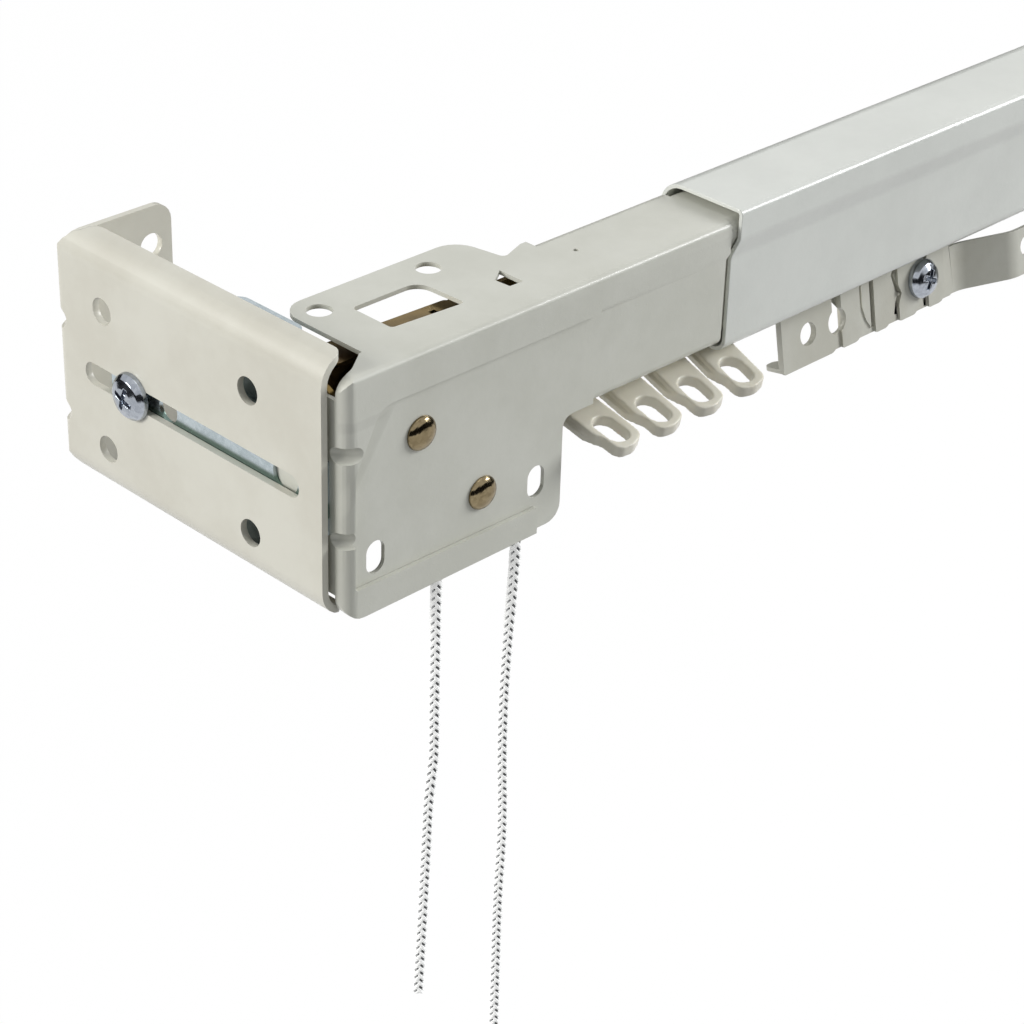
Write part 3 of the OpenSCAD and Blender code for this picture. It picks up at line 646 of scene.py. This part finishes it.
# the held cord inside the rod: plain tubes on the routes of part.scad, in millimetres
heldSet = {
    "length": 762.0, "fromRight": 130, "loopLeaves": 62, "ride": 6.6, "guideRide": 3,
    "upper": (19.3, 29.2), "lower": (33.5, 12.6), "guide": (46.8, 19.6),
    "upperPlane": -64.6, "lowerPlane": -68.2, "run": -66.5, "low": 28.0, "high": 35.8,
    "climb": (58, 25.6), "lowerLands": 80, "upperLeaves": 50, "upperLands": 72,
    "lowerSteps": 16, "guideSteps": 10, "wheelSteps": 30,
}


def arcRoute(at, plane, r, first, last, count):
    turns = [math.radians(first + (last - first) * i / count) for i in range(count + 1)]
    return [Vector((at[0] + r * math.cos(a), plane, at[1] + r * math.sin(a))) for a in turns]


def heldCords(s):
    split = s["length"] - s["fromRight"]
    back = (s["length"] - s["upper"][0], s["upper"][1])
    lowEnd = Vector((split, s["run"], s["low"]))
    highEnd = Vector((split, s["run"], s["high"]))
    lower = [Vector(tailStarts["cord_tail_left"])]
    lower += arcRoute(s["lower"], s["lowerPlane"], s["ride"], 180, 105, s["lowerSteps"])
    lower += [Vector((s["climb"][0], s["lowerPlane"], s["climb"][1])),
              Vector((s["lowerLands"], s["run"], s["low"])), lowEnd]
    upper = [Vector(tailStarts["cord_tail_right"])]
    upper += arcRoute(s["guide"], s["upperPlane"], s["guideRide"], 0, 90, s["guideSteps"])
    upper += arcRoute(s["upper"], s["upperPlane"], s["ride"], 270, 90, s["wheelSteps"])
    upper += [Vector((s["upperLeaves"], s["upperPlane"], s["high"])),
              Vector((s["upperLands"], s["run"], s["high"])), highEnd]
    loop = [lowEnd, Vector((s["length"] - s["loopLeaves"], s["run"], s["low"]))]
    loop += arcRoute(back, s["run"], s["ride"], -90, 90, s["wheelSteps"])
    loop += [highEnd]
    return {"draw_cord_runs": [lower, upper], "draw_cord_return": [loop]}


for node, routes in heldCords(heldSet).items():
    lines = [[(p - mountAt) * mm for p in route] for route in routes]
    tubes = [meshOf(curveAlong("heldGuide", line, cordSet["diameter"] * mm / 2)) for line in lines]
    mesh = joinedMesh(node + "Sleeve", tubes)
    for f in mesh.polygons:
        f.material_index = 0
    keepMesh(node + "Sleeve", mesh, [node], finishes["cordSleeve"])
print("held cords laid")

# studio: a soft lamp at each side of the camera, a weak one overhead, and a pale room
lightSet = {
    "leftLamp": {"place": (-2.64, 1.22, 1.15), "size": 1.3, "power": 72.0, "colour": (1.0, 0.99, 0.97)},
    "rightLamp": {"place": (2.60, -1.55, 1.15), "size": 1.3, "power": 77.0, "colour": (0.98, 0.99, 1.0)},
    "topLamp": {"place": (0.2, -0.3, 2.8), "size": 1.5, "power": 8.0, "colour": (1.0, 0.99, 0.97)},
}


def areaLight(name, s, target):
    data = bpy.data.lights.new(name, "AREA")
    data.size = s["size"]
    data.energy = s["power"]
    data.color = s["colour"]
    lamp = bpy.data.objects.new(name, data)
    lamp.location = s["place"]
    lamp.rotation_euler = (target - Vector(s["place"])).to_track_quat("-Z", "Y").to_euler()
    scene.collection.objects.link(lamp)


lampAim = spot(60, -60, 10)
for name, s in lightSet.items():
    areaLight(name, s, lampAim)

# a low dark curtain round the table, mirrored by polished metal and gloss, and by nothing else
curtainSet = {"radius": 1.6, "foot": -0.31, "top": 0.48, "panels": 48,
              "dark": (0.02, 0.02, 0.022, 1), "fold": (0.035, 0.035, 0.037, 1)}


def roundCurtain(s):
    turns = [2 * math.pi * i / s["panels"] for i in range(s["panels"])]
    heights = (s["foot"], s["top"])
    corners = [(s["radius"] * math.cos(a), s["radius"] * math.sin(a), z) for a in turns for z in heights]
    count = len(corners)
    panels = [(i, i + 1, (i + 3) % count, (i + 2) % count) for i in range(0, count, 2)]
    mesh = bpy.data.meshes.new("darkCurtain")
    mesh.from_pydata(corners, [], panels)
    cloth = Finish("curtainCloth")
    folds = cloth.noise(cloth.place((1, 1, 0.1)), 60.0)
    colour = cloth.mixed(folds, s["dark"], s["fold"])
    mesh.materials.append(cloth.dress(colour=colour, rough=0.9, gloss=0.0))
    curtain = bpy.data.objects.new("darkCurtain", mesh)
    scene.collection.objects.link(curtain)
    curtain.visible_camera = curtain.visible_diffuse = curtain.visible_shadow = False


roundCurtain(curtainSet)
roomSet = {"ambient": 0.33, "tint": (0.95, 0.98, 1.0, 1.0), "floor": -0.32, "floorSize": 6.0,
           "floorColour": 0.32, "shadow": 0.1, "matteLevel": 0.3}


# 1 where the background is looked at directly, mirrored in metal or through something clear
def lookedAt(finish):
    path = finish.add("ShaderNodeLightPath", {}, {})
    rays = ("Is Camera Ray", "Is Glossy Ray", "Is Transmission Ray")
    straight, mirrored, through = (Wire(finish, path.outputs[ray]) for ray in rays)
    return straight.joined("MAXIMUM", straight.joined("MAXIMUM", straight, mirrored), through)


class Room(Finish):
    def __init__(self, name):
        self.world = bpy.data.worlds.new(name)
        self.world.use_nodes = True
        self.tree = self.world.node_tree
        self.tree.nodes.clear()


room = Room("paleRoom")
seen = lookedAt(room)
colour = room.mixed(seen, roomSet["tint"], (1, 1, 1, 1))
strength = seen * (1.0 - roomSet["ambient"]) + roomSet["ambient"]
sky = room.add("ShaderNodeBackground", {}, {"Color": colour, "Strength": strength})
room.add("ShaderNodeOutputWorld", {}, {"Surface": sky.outputs[0]})
scene.world = room.world

floorMesh = bpy.data.meshes.new("studioFloor")
floorForm = bmesh.new()
bmesh.ops.create_grid(floorForm, x_segments=1, y_segments=1, size=roomSet["floorSize"])
bmesh.ops.translate(floorForm, verts=floorForm.verts, vec=(0, 0, roomSet["floor"]))
floorForm.to_mesh(floorMesh)
floorForm.free()
floorPiece = bpy.data.objects.new("studioFloor", floorMesh)
scene.collection.objects.link(floorPiece)
pale = Finish("paleFloor")
lift = (1.0 - roomSet["shadow"] * roomSet["matteLevel"]) / (1.0 - roomSet["shadow"])
glow = pale.add("ShaderNodeEmission", {}, {"Color": (1, 1, 1, 1), "Strength": lift})
matte = pale.add("ShaderNodeBsdfDiffuse", {}, {"Color": (roomSet["floorColour"],) * 3 + (1,)})
share = lookedAt(pale) * (1.0 - roomSet["shadow"])
blendIn = pale.add("ShaderNodeMixShader", {}, {0: share, 1: matte.outputs[0], 2: glow.outputs[0]})
pale.tree.links.new(blendIn.outputs[0], pale.ending.inputs["Surface"])
pale.tree.nodes.remove(pale.shader)
floorMesh.materials.append(pale.material)
print("studio lit")
